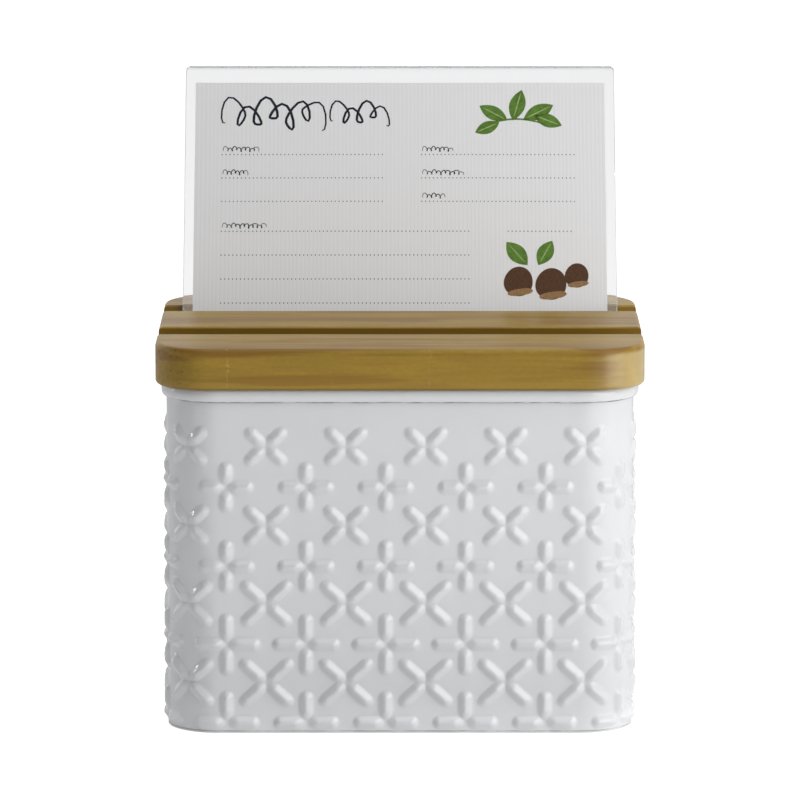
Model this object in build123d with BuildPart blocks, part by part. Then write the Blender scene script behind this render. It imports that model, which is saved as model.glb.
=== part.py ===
"""Recipe card tin with a wooden stand lid.

An enamelled steel tin holds index cards on edge.  Its thick wooden lid has two grooves across
the top.  The rear one holds a clear acrylic pane and the card being read.

Millimetres, +Z up, X across the tin, -Y is the front.  The origin is on the table, below
the middle of the box that the whole object fits in.
"""

from build123d import *
import os
from math import asin, atan2, cos, degrees, pi, radians, sin, sqrt, tan

os.makedirs("parts", exist_ok=True)

# ---------------------------------------------------------------- driving dimensions
# tin
card_side_room = 6.6         # between a card and the wall, each side
head_room = 5.74             # between the dividers' tabs and the lid
tin_depth = 119.0            # outside of the flat walls, front to back
tin_corner = 19.0            # outside plan radius of the upright corners
sheet = 0.5                  # enamelled sheet thickness
rim_height = 4.4             # rolled rim, top to bottom
rim_overhang = 1.8           # how far the rolled rim stands out from the wall
rim_roll = 1.5               # rounding of the rim, above and below
hem_height = 2.2             # folded edge inside the foot of the wall
panel_height = 2.6           # underside of the base panel above the table
seam_play = 0.05             # between the base panel's flange and the folded edge

# lattice pressed out of the wall: rows of upright crosses and rows of leaning ones by turns,
# each cross of four petals with a roof's sloping sides
column_pitch = 28.35         # between the crosses of a row, about: a whole number goes round
lattice_shift = -5.1         # of the upright crosses from the middle of the front
upright_row = 3.6            # height of the lowest row of upright crosses
upright_pitch = 28.4         # between rows of upright crosses
leaning_row = 18.1           # height of the lowest row of leaning crosses
leaning_pitch = 28.55        # between rows of leaning crosses
cross_lean = 42.3            # of a leaning cross's arms, from level
plain_band = 20.0            # below the rim's upper edge, without crosses
large_crosses = 55.0         # up to this height the crosses are the large ones
large_reach = 12.0           # from a large cross's middle to its petals' tips
small_reach = 10.0
petal_start = 0.6            # from a cross's middle
petal_width = 5.0
petal_rise = 1.2
petal_ridge = 0.9            # width of a petal's flat top
petal_tip = 3.0              # length of its pointed ends

# lid
lid_overhang = 3.7           # beyond the tin's walls, all round
lid_thickness = 15.0
lid_corner = 18.5
lid_edge = 1.6               # rounding of the lid's upper and lower rim
groove_depth = 9.5
groove_chamfer = 0.5         # broken upper edges of the grooves
front_groove_start = 33.7    # from the lid's front edge
front_groove_width = 15.9
rear_groove_start = 86.6     # from the lid's front edge
rear_groove_width = 13.2     # at the top
lean = 30.0                  # slope of the rear groove's back wall, from the vertical

# locating board under the lid, and its screws
plug_thickness = 6.0
plug_clearance = 1.3         # between the board and the tin, all round
plug_edge = 0.8              # chamfer of its lower edge
screw_inset = 20.0           # from the edges of the locating board
screw_length = 14.0
screw_shank = 1.6            # radius
screw_head = 3.2             # radius
screw_tip = 2.5              # length of the point
screw_recess = 1.2           # depth of the driver recess
recess_width = 0.8
recess_length = 3.4
screw_play = 0.1             # between a screw and its hole

# pane and the card on show
pane_side_margin = 3.8       # beyond the card, each side
pane_top_margin = 3.9        # longer than the card
pane_thickness = 3.0
pane_corner = 2.0
pane_edge = 0.25             # broken edges of the pane
card_width = 152.4
card_height = 101.6
card_thickness = 0.4
seat_gap = 0.3               # between pieces that rest against each other

# cards kept in the tin, each group behind its divider
groups = 5
cards_per_group = 8
stack_gap = 0.06             # between neighbours in the stack, and under them
divider_thickness = 0.6
divider_rise = 1.4           # taller than the cards, without the tab
tab_height = 6.5
tab_width = 26.0
tab_corner = 2.0

# ---------------------------------------------------------------- places
panel_top = panel_height + sheet
stand_height = panel_top + stack_gap
divider_height = card_height + divider_rise
tin_width = card_width + 2 * (card_side_room + sheet)
tin_height = stand_height + divider_height + tab_height + head_room + plug_thickness
lid_width = tin_width + 2 * lid_overhang
lid_depth = tin_depth + 2 * lid_overhang
pane_width = card_width + 2 * pane_side_margin
pane_height = card_height + pane_top_margin
pane_slope = radians(lean)
lid_bottom = tin_height
lid_top = lid_bottom + lid_thickness
groove_floor = lid_top - groove_depth

# distances back from the lid's front edge
rear_groove_end = rear_groove_start + rear_groove_width
pane_foot_back = rear_groove_end - groove_depth * tan(pane_slope) - seat_gap
card_foot_back = rear_groove_start + card_thickness + seat_gap
pane_top_back = pane_foot_back + (pane_height - pane_edge) * sin(pane_slope)
foot_height = groove_floor + seat_gap

# the card stands at the front of the groove and leans until its top rests on the pane
foot_distance = (pane_foot_back - card_foot_back) * cos(pane_slope) - pane_thickness
card_slope = pane_slope + asin((foot_distance - seat_gap) / card_height)

# the whole object reaches from the lid's front edge back to the pane's upper edge
lid_front = -pane_top_back / 2
tin_centre = lid_front + lid_depth / 2
tin_back = tin_centre + tin_depth / 2

inner_width = tin_width - 2 * sheet
inner_depth = tin_depth - 2 * sheet
inner_corner = tin_corner - sheet
plug_width = inner_width - 2 * plug_clearance
plug_depth = inner_depth - 2 * plug_clearance
plug_corner = inner_corner - plug_clearance
plug_bottom = lid_bottom - plug_thickness

# the wall's stretches, from the middle of the front round by the right: length, and whether it is round
front_flat = tin_width - 2 * tin_corner
side_flat = tin_depth - 2 * tin_corner
corner_run = pi / 2 * tin_corner
half_front = [(front_flat / 2, False)]
side = [(corner_run, True), (side_flat, False), (corner_run, True)]
wall_stretches = half_front + side + [(front_flat, False)] + side + half_front
wall_run = sum(length for length, is_round in wall_stretches)
columns = max(3, round(wall_run / column_pitch))
column_step = wall_run / columns


def save(shape, name):
    """Label a finished piece and write its STEP file."""
    shape.label = name
    export_step(shape, f"parts/{name}.step")


def level(height):
    """The horizontal plane at a height, centred on the tin."""
    return Plane((0, tin_centre, height))


def leaning(distance_back, height, slope):
    """Plane of a leaning sheet's back face: x across, y up along the sheet, z out of its front."""
    return Plane(
        origin=(0, lid_front + distance_back, height),
        x_dir=(1, 0, 0),
        z_dir=(0, -cos(slope), sin(slope)),
    )


def on_wall(run, height):
    """Plane on the wall, x round it, y up and z outwards, and whether the wall is round there."""
    left = run % wall_run
    x, y, heading = 0.0, tin_centre - side_flat / 2, 0.0
    for length, is_round in wall_stretches:
        if left <= length:
            break
        left -= length
        if is_round:
            heading += pi / 2
        else:
            x, y = x + length * cos(heading), y + length * sin(heading)
    if is_round:
        heading += left / tin_corner
    else:
        x, y = x + left * cos(heading), y + left * sin(heading)
    outwards = Vector(sin(heading), -cos(heading), 0)
    place = Vector(x, y, height) + outwards * tin_corner
    return Plane(origin=place, x_dir=(cos(heading), sin(heading), 0), z_dir=outwards), is_round


def petal(run, height, reach, turn):
    """One petal of the cross at this place: a flat-sided solid that stands in the wall."""
    length = reach - petal_start
    across, up = cos(radians(turn)), sin(radians(turn))
    middle = petal_start + length / 2
    plane, is_round = on_wall(run + across * middle, height + up * middle)
    # a round wall falls away from the plane by this much at the petal's ends
    drop = (across * length / 2) ** 2 / (2 * tin_corner) if is_round else 0.0
    point = atan2(petal_width / 2, petal_tip)

    def ring(rise, inset):
        half = petal_width / 2 - inset
        tip = length / 2 - drop - inset / sin(point)
        shoulder = tip - half / tan(point)
        outline = [(-tip, 0), (-shoulder, -half), (shoulder, -half),
                   (tip, 0), (shoulder, half), (-shoulder, half)]
        turned = [(x * across - y * up, x * up + y * across) for x, y in outline]
        return [plane.from_local_coords(Vector(x, y, rise)) for x, y in turned]

    rings = [ring(-drop - sheet, 0), ring(-drop, 0), ring(petal_rise, (petal_width - petal_ridge) / 2)]
    faces = [Face(Wire.make_polygon(rings[0])), Face(Wire.make_polygon(rings[-1]))]
    for lower, upper in zip(rings, rings[1:]):
        for corner in range(len(lower)):
            sides = [lower[corner - 1], lower[corner], upper[corner], upper[corner - 1]]
            faces.append(Face(Wire.make_polygon(sides)))
    return Solid(Shell(faces))


def lattice():
    """All the petals round the tin."""
    leaning_turns = [cross_lean, 180 - cross_lean, 180 + cross_lean, 360 - cross_lean]
    kinds = [
        (upright_row, upright_pitch, 0.0, [0, 90, 180, 270]),
        (leaning_row, leaning_pitch, 0.5, leaning_turns),
    ]
    petals = []
    for height, pitch, shift, turns in kinds:
        while height < tin_height - plain_band:
            reach = large_reach if height < large_crosses else small_reach
            whole_turns = [turn for turn in turns if height + reach * sin(radians(turn)) > 0]
            for column in range(columns):
                run = lattice_shift + (column + shift) * column_step
                petals += [petal(run, height, reach, turn) for turn in whole_turns]
            height += pitch
    return petals


# ---------------------------------------------------------------- tin
# the wall: one sheet bent round, rolled out at the rim, folded in at the foot
with BuildPart() as tin_wall:
    with BuildSketch(level(tin_height - rim_height)):
        RectangleRounded(tin_width + 2 * rim_overhang, tin_depth + 2 * rim_overhang, tin_corner + rim_overhang)
    extrude(amount=rim_height)
    fillet(tin_wall.edges().filter_by(GeomType.LINE).filter_by(Axis.Z, reverse=True)
           + tin_wall.edges().filter_by(GeomType.CIRCLE), radius=rim_roll)
    with BuildSketch(level(0)):
        RectangleRounded(tin_width, tin_depth, tin_corner)
    extrude(amount=tin_height - rim_height / 2)
    add(lattice())
    with BuildSketch(level(sheet)):
        RectangleRounded(inner_width, inner_depth, inner_corner)
    extrude(amount=tin_height, mode=Mode.SUBTRACT)
    hem_inset = 2 * (sheet + 2 * seam_play)
    with BuildSketch(level(0)):
        RectangleRounded(inner_width - hem_inset, inner_depth - hem_inset, inner_corner - hem_inset / 2)
    extrude(amount=hem_height)
    hem_bore = hem_inset + 2 * sheet
    with BuildSketch(level(0)):
        RectangleRounded(inner_width - hem_bore, inner_depth - hem_bore, inner_corner - hem_bore / 2)
    extrude(amount=hem_height, mode=Mode.SUBTRACT)
save(tin_wall.part, "tin_wall")

# the base: a panel whose flange stands in the fold at the foot of the wall
with BuildPart() as tin_base:
    with BuildSketch(level(sheet)):
        RectangleRounded(inner_width - 2 * seam_play, inner_depth - 2 * seam_play, inner_corner - seam_play)
    extrude(amount=panel_top - sheet)
    flange_bore = 2 * (seam_play + sheet)
    with BuildSketch(level(sheet)):
        RectangleRounded(inner_width - flange_bore, inner_depth - flange_bore, inner_corner - flange_bore / 2)
    extrude(amount=panel_height - sheet, mode=Mode.SUBTRACT)
save(tin_base.part, "tin_base")

# ---------------------------------------------------------------- lid
screws_across = plug_width - 2 * screw_inset
screws_deep = plug_depth - 2 * screw_inset
underside = Plane(origin=(0, tin_centre, plug_bottom), x_dir=(1, 0, 0), z_dir=(0, 0, -1))
across_lid = Plane(origin=(0, lid_front, lid_top), x_dir=(0, 1, 0), z_dir=(1, 0, 0))
groove_run = lid_width        # each way from the middle, well past both ends
above_lid = lid_edge          # the cuts start this far above the lid

with BuildPart() as lid_board:
    with BuildSketch(level(lid_bottom)):
        RectangleRounded(lid_width, lid_depth, lid_corner)
    extrude(amount=lid_thickness)
    fillet(lid_board.faces().filter_by(Axis.Z).edges(), radius=lid_edge)
    with BuildSketch(across_lid):
        with BuildLine():
            start, end = front_groove_start, front_groove_start + front_groove_width
            Polyline(
                (start - groove_chamfer - above_lid, above_lid),
                (start, -groove_chamfer),
                (start, -groove_depth),
                (end, -groove_depth),
                (end, -groove_chamfer),
                (end + groove_chamfer + above_lid, above_lid),
                close=True,
            )
        make_face()
        with BuildLine():
            start, end = rear_groove_start, rear_groove_end
            Polyline(
                (start - groove_chamfer - above_lid, above_lid),
                (start, -groove_chamfer),
                (start, -groove_depth),
                (end - groove_depth * tan(pane_slope), -groove_depth),
                (end - groove_chamfer * tan(pane_slope), -groove_chamfer),
                (end + groove_chamfer + above_lid, above_lid),
                close=True,
            )
        make_face()
    extrude(amount=groove_run, both=True, mode=Mode.SUBTRACT)
    with Locations(Plane(origin=(0, tin_centre, lid_bottom), x_dir=(1, 0, 0), z_dir=(0, 0, -1))):
        with GridLocations(screws_across, screws_deep, 2, 2):
            Hole(radius=screw_shank + screw_play, depth=screw_length - plug_thickness + screw_play)
save(lid_board.part, "lid_board")

with BuildPart() as lid_plug:
    with BuildSketch(level(plug_bottom)):
        RectangleRounded(plug_width, plug_depth, plug_corner)
    extrude(amount=plug_thickness)
    chamfer(lid_plug.faces().sort_by(Axis.Z)[0].edges(), length=plug_edge)
    with Locations(underside):
        with GridLocations(screws_across, screws_deep, 2, 2):
            CounterSinkHole(
                radius=screw_shank + screw_play,
                counter_sink_radius=screw_head + screw_play,
                counter_sink_angle=90,
            )
save(lid_plug.part, "lid_plug")

with BuildPart() as screw:
    with BuildSketch(Plane.XZ):
        with BuildLine():
            Polyline(
                (0, 0),
                (screw_head, 0),
                (screw_shank, screw_head - screw_shank),
                (screw_shank, screw_length - screw_tip),
                (0, screw_length),
                close=True,
            )
        make_face()
    revolve(axis=Axis.Z)
    with BuildSketch(Plane.XY):
        Rectangle(recess_length, recess_width)
        Rectangle(recess_width, recess_length)
    extrude(amount=screw_recess, mode=Mode.SUBTRACT)

with BuildPart() as plug_screws:
    with Locations(level(plug_bottom)):
        with GridLocations(screws_across, screws_deep, 2, 2):
            add(screw.part)
save(plug_screws.part, "plug_screws")

# ---------------------------------------------------------------- pane and card on show
with BuildPart() as card_shield:
    with BuildSketch(leaning(pane_foot_back, foot_height, pane_slope)) as pane_outline:
        Rectangle(pane_width, pane_height, align=(Align.CENTER, Align.MIN))
        fillet(pane_outline.vertices().group_by(Axis.Y)[-1], radius=pane_corner)
    extrude(amount=pane_thickness)
    pane_faces = card_shield.faces().sort_by(SortBy.AREA)[-2:]
    chamfer(pane_faces.edges(), length=pane_edge)
save(card_shield.part, "card_shield")

with BuildPart() as display_card:
    with BuildSketch(leaning(card_foot_back, foot_height, card_slope)):
        Rectangle(card_width, card_height, align=(Align.CENTER, Align.MIN))
    extrude(amount=card_thickness)
save(display_card.part, "display_card")

# ---------------------------------------------------------------- cards kept in the tin
card_step = card_thickness + stack_gap
group_step = cards_per_group * card_step + divider_thickness + stack_gap
corner_reach = card_width / 2 - (inner_width / 2 - inner_corner)
corner_rise = inner_corner - sqrt(inner_corner ** 2 - corner_reach ** 2)
stack_back = tin_back - sheet - corner_rise - seat_gap     # the last card rests in the rounded corners
tab_step = (card_width - tab_width) / (groups - 1)


def upright(y):
    """The upright plane whose sheet's back face is at y, facing the front."""
    return Plane(origin=(0, y, stand_height), x_dir=(1, 0, 0), z_dir=(0, -1, 0))


for group in range(groups):
    group_back = stack_back - group * group_step
    with BuildPart() as recipe_cards:
        for card in range(cards_per_group):
            with BuildSketch(upright(group_back - card * card_step)):
                Rectangle(card_width, card_height, align=(Align.CENTER, Align.MIN))
            extrude(amount=card_thickness)
    save(recipe_cards.part, f"recipe_cards_{group + 1}")

    tab_centre = (card_width - tab_width) / 2 - group * tab_step
    with BuildPart() as divider:
        with BuildSketch(upright(group_back - cards_per_group * card_step)) as divider_outline:
            Rectangle(card_width, divider_height, align=(Align.CENTER, Align.MIN))
            with Locations((tab_centre, divider_height)):
                Rectangle(tab_width, tab_height, align=(Align.CENTER, Align.MIN))
            fillet(divider_outline.vertices().group_by(Axis.Y)[-1], radius=tab_corner)
        extrude(amount=divider_thickness)
    save(divider.part, f"divider_{group + 1}")

# ---------------------------------------------------------------- values for the record
print("lid_front", round(lid_front, 3), "tin_centre", round(tin_centre, 3), "tin_back", round(tin_back, 3))
print("card lean", round(degrees(card_slope), 2), "lid_top", lid_top, "groove_floor", groove_floor)
print("stack front", round(stack_back - groups * group_step, 2), "panel_top", panel_top)
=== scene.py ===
"""The looks of an index card tin: embossed white enamel, a grooved wooden lid, a clear pane and a card.

Laid out as an add-on.  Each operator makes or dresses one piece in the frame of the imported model,
in metres: X across the tin, -Y its front, +Z up.
"""

from math import cos, pi, radians, sin, sqrt

import bpy
import numpy as np
from bpy.props import FloatProperty, FloatVectorProperty, IntProperty, PointerProperty
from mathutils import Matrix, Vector


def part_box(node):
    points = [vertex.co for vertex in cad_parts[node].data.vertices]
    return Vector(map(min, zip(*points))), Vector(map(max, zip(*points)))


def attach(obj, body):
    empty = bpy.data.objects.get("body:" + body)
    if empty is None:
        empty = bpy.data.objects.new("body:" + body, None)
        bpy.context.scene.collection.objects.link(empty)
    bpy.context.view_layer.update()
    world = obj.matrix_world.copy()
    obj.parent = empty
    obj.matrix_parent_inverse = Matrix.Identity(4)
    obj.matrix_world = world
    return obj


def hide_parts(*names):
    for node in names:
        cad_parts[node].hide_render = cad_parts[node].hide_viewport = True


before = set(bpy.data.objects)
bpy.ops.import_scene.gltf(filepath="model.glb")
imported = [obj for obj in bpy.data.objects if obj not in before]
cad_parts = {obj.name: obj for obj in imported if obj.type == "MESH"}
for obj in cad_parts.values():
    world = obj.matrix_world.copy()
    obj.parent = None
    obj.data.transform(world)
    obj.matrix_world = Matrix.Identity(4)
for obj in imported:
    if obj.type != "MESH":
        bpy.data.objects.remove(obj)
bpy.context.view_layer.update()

bl_info = {
    "name": "Index card tin",
    "version": (1, 0, 0),
    "blender": (4, 5, 0),
    "location": "View3D > Sidebar > Card tin",
    "description": "Makes the looks of an index card tin with a wooden stand lid",
    "category": "Object",
}

MM = 0.001
HAIR = 0.01 * MM  # points closer than this count as one

wall_low, wall_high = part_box("tin_wall")
lid_low, lid_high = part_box("lid_board")
_, pane_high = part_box("card_shield")
card_low, card_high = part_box("display_card")
tin_centre_y = (wall_low.y + wall_high.y) / 2


# ---------------------------------------------------------------- settings
def length_setting(name, note, millimetres):
    """A length of the model, kept in metres."""
    return FloatProperty(name=name, description=note, default=millimetres * MM, unit="LENGTH")


def colour_setting(name, note, colour):
    """A colour in a material."""
    return FloatVectorProperty(name=name, description=note, default=colour, size=3, subtype="COLOR")


class WallSettings(bpy.types.PropertyGroup):
    """Sizes and colour of the embossed wall."""

    rim_overhang: length_setting("Rim overhang", "How far the rolled rim stands out", 1.8)
    rim_height: length_setting("Rim height", "Rolled rim, top to bottom", 4.7)
    sheet: length_setting("Sheet", "Thickness of the sheet", 0.5)
    corner: length_setting("Corner radius", "Plan radius of the upright corners", 19)
    columns: IntProperty(
        name="Columns", description="Crosses round the tin in one row", default=19, min=3)
    phase: length_setting("Phase", "Place of an upright cross on the front", -5.1)
    cross_lean: FloatProperty(
        name="Lean", description="Of a leaning cross's arms, from level, in degrees", default=41.5)
    petal_start: length_setting("Petal start", "Tip of a petal from its cross's centre", 0.45)
    petal_width: length_setting("Petal width", "Width of a standing petal", 5.3)
    petal_edge: length_setting("Petal edge", "Softness where a petal meets the wall", 0.16)
    rise_low: length_setting("Rise, lowest row", "Height of the lowest petals", 1.6)
    rise_high: length_setting("Rise, top row", "Height of the top petals", 1.25)
    crevice: length_setting("Crevice", "Depth of the gap under the rolled rim", 0.9)
    cells: IntProperty(
        name="Cells", description="Grid cells across one column of crosses", default=48, min=8)
    rim_cells: IntProperty(
        name="Rim cells", description="Segments of the rim round the tin", default=228, min=24)
    colour: colour_setting("Enamel", "Colour of the enamel", (0.80, 0.81, 0.825))


class LidSettings(bpy.types.PropertyGroup):
    """Colours of the lid's wood, and the shade painted in its grooves."""

    pale: colour_setting("Pale wood", "Between the grain lines", (0.372, 0.231, 0.027))
    dark: colour_setting("Dark wood", "In the grain lines", (0.255, 0.150, 0.015))
    # a darker colour for the grooves: painted shade
    painted_groove_shade: colour_setting("Groove", "Wood in the milled grooves", (0.235, 0.138, 0.019))


class CardSettings(bpy.types.PropertyGroup):
    """Sizes and colours of the card on show."""

    lean: FloatProperty(
        name="Lean", description="Lean of the card, back from upright", default=radians(31.42),
        subtype="ANGLE")
    thickness: length_setting("Thickness", "Thickness of the card", 0.4)
    bow: length_setting("Bow", "How far the card bows forward", 0.9)
    rib_step: length_setting("Rib step", "From one rib of the paper to the next", 1.49)
    paper: colour_setting("Paper", "Colour of the paper", (0.89, 0.89, 0.895))
    print_lift: length_setting("Print lift", "How far the printed shapes stand over the paper", 0.02)
    print_thickness: length_setting("Print thickness", "Of the printed shapes", 0.02)
    dot_step: length_setting("Dot step", "Between the dots of a rule", 1.45)
    dot_size: length_setting("Dot size", "Across one dot of a rule", 0.48)
    ink: colour_setting("Ink", "Colour of the ink", (0.006, 0.008, 0.02))
    leaf: colour_setting("Leaf", "Colour of the leaves", (0.10, 0.21, 0.025))
    nut: colour_setting("Nut", "Colour of the nuts", (0.085, 0.035, 0.012))


class StageSettings(bpy.types.PropertyGroup):
    """Camera, lamps and floor."""

    focal_length: FloatProperty(
        name="Focal length", description="Of the camera, on a 36 mm sensor", default=269.0)
    pitch: FloatProperty(
        name="Pitch", description="How far the camera looks down", default=radians(9.87), subtype="ANGLE")
    distance: FloatProperty(
        name="Distance", description="Camera to the front of the tin", default=2.111, unit="LENGTH")
    aim_height: FloatProperty(
        name="Aim height", description="Where the view's centre meets the front", default=0.12095,
        unit="LENGTH")
    floor_colour: colour_setting("Floor", "Colour of the floor", (0.8, 0.8, 0.8))


# ---------------------------------------------------------------- working by hand
def deselect_all():
    """Leave edit mode, with nothing selected and nothing active."""
    if bpy.context.mode != "OBJECT":
        bpy.ops.object.mode_set(mode="OBJECT")
    bpy.ops.object.select_all(action="DESELECT")


def take(piece):
    """Select one object alone and make it active."""
    deselect_all()
    piece.hide_set(False)
    piece.select_set(True)
    bpy.context.view_layer.objects.active = piece


def apply_place(piece):
    """Move an object's place, turn and scale into its mesh."""
    take(piece)
    bpy.ops.object.transform_apply(location=True, rotation=True, scale=True)


def add_and_apply(piece, kind, **settings):
    """Give a piece one modifier and apply it."""
    take(piece)
    modifier = piece.modifiers.new(kind.title(), kind)
    for name, value in settings.items():
        setattr(modifier, name, value)
    bpy.ops.object.modifier_apply(modifier=modifier.name)


def edit_all(piece, operation, **settings):
    """Do one thing in edit mode to a whole piece."""
    take(piece)
    bpy.ops.object.mode_set(mode="EDIT")
    bpy.ops.mesh.select_all(action="SELECT")
    operation(**settings)
    bpy.ops.object.mode_set(mode="OBJECT")


def face_outwards(piece):
    """Turn all faces outwards on a closed piece."""
    edit_all(piece, bpy.ops.mesh.normals_make_consistent, inside=False)


def shade_by_angle(piece, degrees):
    """Smooth shading with sharp edges over an angle."""
    take(piece)
    bpy.ops.object.shade_smooth_by_angle(angle=radians(degrees))


def points_of(piece):
    """A piece's vertices as an array of rows x, y, z."""
    points = np.empty(len(piece.data.vertices) * 3)
    piece.data.vertices.foreach_get("co", points)
    return points.reshape(-1, 3)


def set_points(piece, points):
    """Write a piece's vertices back."""
    piece.data.vertices.foreach_set("co", np.ascontiguousarray(points).ravel())
    piece.data.update()


def join(pieces, name):
    """Join pieces into one object of that name."""
    take(pieces[0])
    for piece in pieces[1:]:
        piece.select_set(True)
    if len(pieces) > 1:
        bpy.ops.object.join()
    pieces[0].name = name
    return pieces[0]


def finish_piece(piece, material, body, stands_for=()):
    """Give a piece its material and its body, and hide the imported parts that it stands for."""
    piece.data.materials.clear()
    piece.data.materials.append(material)
    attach(piece, body)
    if stands_for:
        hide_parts(*stands_for)


def dress(node, material):
    """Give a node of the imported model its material."""
    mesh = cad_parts[node].data
    mesh.materials.clear()
    mesh.materials.append(material)


# ---------------------------------------------------------------- materials
class Nodes:
    """A node tree being made, with short ways to add to it."""

    def __init__(self, tree):
        self.tree = tree

    def add(self, kind, inputs=None, **settings):
        """Add a node, set it up, and link or set its inputs."""
        node = self.tree.nodes.new("ShaderNode" + kind)
        for name, value in settings.items():
            setattr(node, name, value)
        for name, value in (inputs or {}).items():
            self.put(node.inputs[name], value)
        return node

    def put(self, socket, value):
        """Link a socket to another one, or set its value."""
        if isinstance(value, bpy.types.NodeSocket):
            self.tree.links.new(value, socket)
        else:
            socket.default_value = value

    def maths(self, operation, first, second=0.0, third=0.0):
        """One sum on one to three values."""
        return self.add("Math", {0: first, 1: second, 2: third}, operation=operation).outputs[0]

    def times(self, first, second):
        """The product of two values."""
        return self.maths("MULTIPLY", first, second)

    def off(self, value, place):
        """How far a value lies from a place, to either side."""
        return self.maths("ABSOLUTE", self.maths("SUBTRACT", value, place))

    def noise(self, vector, scale, detail=2.0, roughness=0.5, distortion=0.0):
        """Fractal noise from 0 to 1."""
        inputs = {"Vector": vector, "Scale": scale, "Detail": detail, "Roughness": roughness,
                  "Distortion": distortion}
        return self.add("TexNoise", inputs).outputs["Fac"]

    def ramp(self, value, *stops):
        """A colour ramp from pairs of place and colour."""
        node = self.add("ValToRGB", {"Fac": value})
        elements = node.color_ramp.elements
        while len(elements) < len(stops):
            elements.new(0.5)
        for element, (place, colour) in zip(elements, stops):
            element.position = place
            element.color = (*colour, 1)
        return node.outputs["Color"]

    def blend(self, share, first, second):
        """Mix two colours, each a socket or a plain tuple."""
        node = self.add("Mix", {0: share}, data_type="RGBA")
        for socket, colour in ((6, first), (7, second)):
            self.put(node.inputs[socket], (*colour, 1) if isinstance(colour, tuple) else colour)
        return node.outputs[2]

    def span(self, value, low, high, to_low=0.0, to_high=1.0):
        """Map a range of values to another, clamped."""
        inputs = {0: value, 1: low, 2: high, 3: to_low, 4: to_high}
        return self.add("MapRange", inputs, clamp=True).outputs[0]


class Finish(Nodes):
    """A material being made: its nodes, its principled shader and the object's own coordinates."""

    def __init__(self, name):
        self.material = bpy.data.materials.new(name)
        self.material.use_nodes = True
        super().__init__(self.material.node_tree)
        self.shader = self.tree.nodes["Principled BSDF"]
        self.place = self.add("TexCoord").outputs["Object"]

    def set(self, **inputs):
        """Set inputs of the shader; an underscore stands for a space."""
        for name, value in inputs.items():
            self.put(self.shader.inputs[name.replace("_", " ")], value)

    def split(self):
        """The object's coordinates one by one: across, back and up."""
        return tuple(self.add("SeparateXYZ", {0: self.place}).outputs)

    def stretched(self, scale, turn=(0, 0, 0)):
        """The object's coordinates, scaled and turned."""
        return self.add("Mapping", {"Vector": self.place, "Scale": scale, "Rotation": turn}).outputs[0]

    def bump(self, height, strength, distance):
        """Raise the surface by a height."""
        inputs = {"Height": height, "Strength": strength, "Distance": distance}
        self.set(Normal=self.add("Bump", inputs).outputs[0])


def colour_of(prop):
    """A colour property as a plain tuple."""
    return tuple(prop)


def scaled(colour, by):
    """A colour made lighter or darker."""
    return tuple(min(1.0, channel * by) for channel in colour)


# grey painted shade for the creases of the enamel
PAINTED_CREASE_SHADE = (0.20, 0.215, 0.20)
WOOD_STREAK = (0.255, 0.125, 0.013)
WOOD_LOW = (0.40, 0.255, 0.04)
# pale painted highlight on the lid's front right corner
PAINTED_SHEEN_WOOD = (0.66, 0.50, 0.20)
GLUE = (0.62, 0.47, 0.20)

# finger joints on the lid's front: place across it, and how strongly each one shows
JOINTS = ((-60.9 * MM, 0.40), (-24.4 * MM, 0.10), (10.6 * MM, 0.18))
JOINT_HALF = 0.18 * MM
JOINT_WANDER = 3.2 * MM

PANE_SLOPE = radians(30)
PANE_THICKNESS = 3 * MM
SAWN_SIDE = 0.12 * MM
SAWN_TOP = 0.15 * MM


def enamel_finish(wall):
    """Thick glossy white enamel, with shade painted in the gap under the rim and at the foot, and light
    painted low down.
    """
    finish = Finish("white_enamel")
    colour = colour_of(wall.colour)
    up = finish.split()[2]
    cloud = finish.noise(finish.place, 30, 3)
    body = finish.ramp(cloud, (0.3, scaled(colour, 0.975)), (0.7, colour))
    # painted light: the enamel is made lighter towards the foot
    body = finish.blend(finish.span(up, 2 * MM, 15 * MM, 1.0, 0.0), body, scaled(colour, 1.12))
    broken = finish.noise(finish.stretched((140, 140, 900)), 1.0, 3, 0.6)
    gap_up = wall_high.z - wall.rim_height + 0.1 * MM
    foot_up = 0.75 * MM
    # painted shade: a broken grey line in the gap under the rim and another just over the foot
    for height, reach, depth in ((gap_up, 0.42 * MM, 1.0), (foot_up, 0.3 * MM, 0.6)):
        line = finish.times(finish.span(finish.off(up, height), reach * 0.4, reach, depth, 0.0),
                            finish.span(broken, 0.38, 0.56, 0.25, 1.0))
        body = finish.blend(line, body, PAINTED_CREASE_SHADE)
    streak = finish.noise(finish.place, 90, 3)
    finish.set(Base_Color=body, Roughness=finish.span(streak, 0.3, 0.7, 0.05, 0.10), IOR=1.55)
    finish.bump(finish.noise(finish.place, 260, 2), 0.07, 0.2 * MM)
    return finish.material


def base_finish():
    """Thin matt grey-white enamel inside and underneath."""
    finish = Finish("base_enamel")
    cloud = finish.noise(finish.place, 60, 4)
    finish.set(Base_Color=finish.ramp(cloud, (0.3, (0.66, 0.67, 0.68)), (0.7, (0.74, 0.75, 0.76))))
    finish.set(Roughness=finish.span(cloud, 0.3, 0.7, 0.22, 0.32))
    finish.bump(finish.noise(finish.place, 500, 3), 0.15, 0.1 * MM)
    return finish.material


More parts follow.
